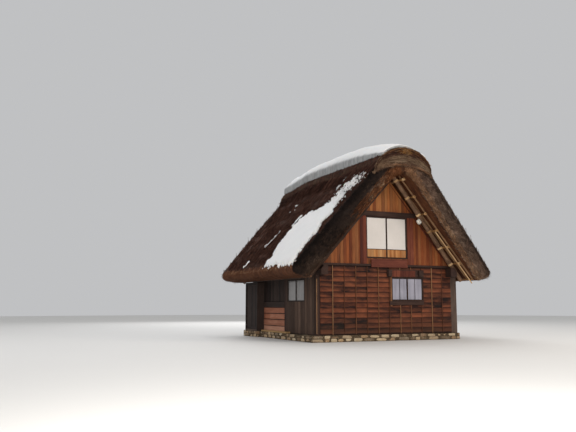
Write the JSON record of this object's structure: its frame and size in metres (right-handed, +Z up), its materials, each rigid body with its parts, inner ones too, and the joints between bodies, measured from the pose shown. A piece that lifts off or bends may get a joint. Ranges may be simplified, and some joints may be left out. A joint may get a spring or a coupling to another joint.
{
  "type": "minka farmhouse",
  "caption": "Small steep-roofed thatched farmhouse with boarded walls, paper windows in the gable, a side entry with sliding doors, and roof snow.",
  "frame": {"origin": "middle of the whole house on the ground, under the foundation stones", "axes": "+Z up, the ridge along Y, the gable with the two window pairs facing -Y, the entry bay on the -X side"},
  "size_m": [8.9, 8.925, 7.85],
  "materials": {
    "field_stone": "rough weathered field stones in earth",
    "plain_board": "bare sawn boards",
    "dark_timber": "smoke-dark sawn timber",
    "grey_timber": "silvered weathered timber",
    "lapped_siding": "red-brown lapped cedar boards with thin battens",
    "gable_board": "orange-brown upright cedar boards",
    "side_board": "dark weathered upright boards",
    "window_paper": "white paper over a low cedar panel",
    "window_glass": "frosted pane with a white blind behind",
    "reed_thatch": "weathered dark reed thatch, cut edges lighter",
    "ridge_straw": "layered straw and bark with moss",
    "peeled_log": "peeled logs, weathered",
    "bamboo": "dry pale bamboo",
    "lamp_white": "white moulded box",
    "snow": "settled snow"
  },
  "bodies": {
    "house": {"foundation_front": "field_stone", "foundation_back": "field_stone", "foundation_left": "field_stone", "foundation_right": "field_stone", "ground_floor": "plain_board", "attic_floor": "plain_board", "corner_post_front_left": "dark_timber", "corner_post_front_right": "grey_timber", "corner_post_back_left": "dark_timber", "corner_post_back_right": "grey_timber", "front_wall": "lapped_siding", "back_wall": "lapped_siding", "right_wall": "lapped_siding", "low_board_wall": "lapped_siding", "gable_wall_front": "gable_board", "gable_wall_back": "gable_board", "gable_beam": "dark_timber", "floor_band": "dark_timber", "signboard": "dark_timber", "upper_window_frame": "dark_timber", "upper_pane_left": "window_paper", "upper_pane_right": "window_paper", "lower_window_frame": "dark_timber", "lower_pane_left": "window_glass", "lower_pane_right": "window_glass", "window_hood": "dark_timber", "window_sill": "dark_timber", "side_window": "window_glass", "right_window": "window_glass", "back_upper_window": "window_paper", "back_lower_window": "window_glass", "beam_end_left": "dark_timber", "beam_end_right": "dark_timber", "left_wall_window_bay": "side_board", "left_wall_post": "dark_timber", "left_wall_dark_boards": "side_board", "base_plank": "plain_board", "thatch_left": "reed_thatch", "thatch_right": "reed_thatch", "ridge_cap": "ridge_straw", "roof_poles_left": "peeled_log", "roof_poles_right": "peeled_log", "bamboo_pole": "bamboo", "verge_lamp": "lamp_white", "ridge_snow": "snow", "slope_snow": "snow", "entry_stones": "field_stone", "entry_jamb": "side_board", "entry_lintel": "side_board", "entry_cheek_front": "gable_board", "entry_cheek_back": "side_board", "entry_sill": "grey_timber", "entry_head": "side_board", "verge_rafters_front": "peeled_log", "verge_rafters_back": "peeled_log"},
    "door_front": {"entry_door_front": "side_board"},
    "door_back": {"entry_door_back": "side_board"}
  },
  "joints": [
    {"name": "front_door_slide", "type": "slide", "parent": "house", "child": "door_front", "axis": [0, 1, 0], "range_m": [0, 0.62]},
    {"name": "back_door_slide", "type": "slide", "parent": "house", "child": "door_back", "axis": [0, -1, 0], "range_m": [0, 0.62]}
  ]
}
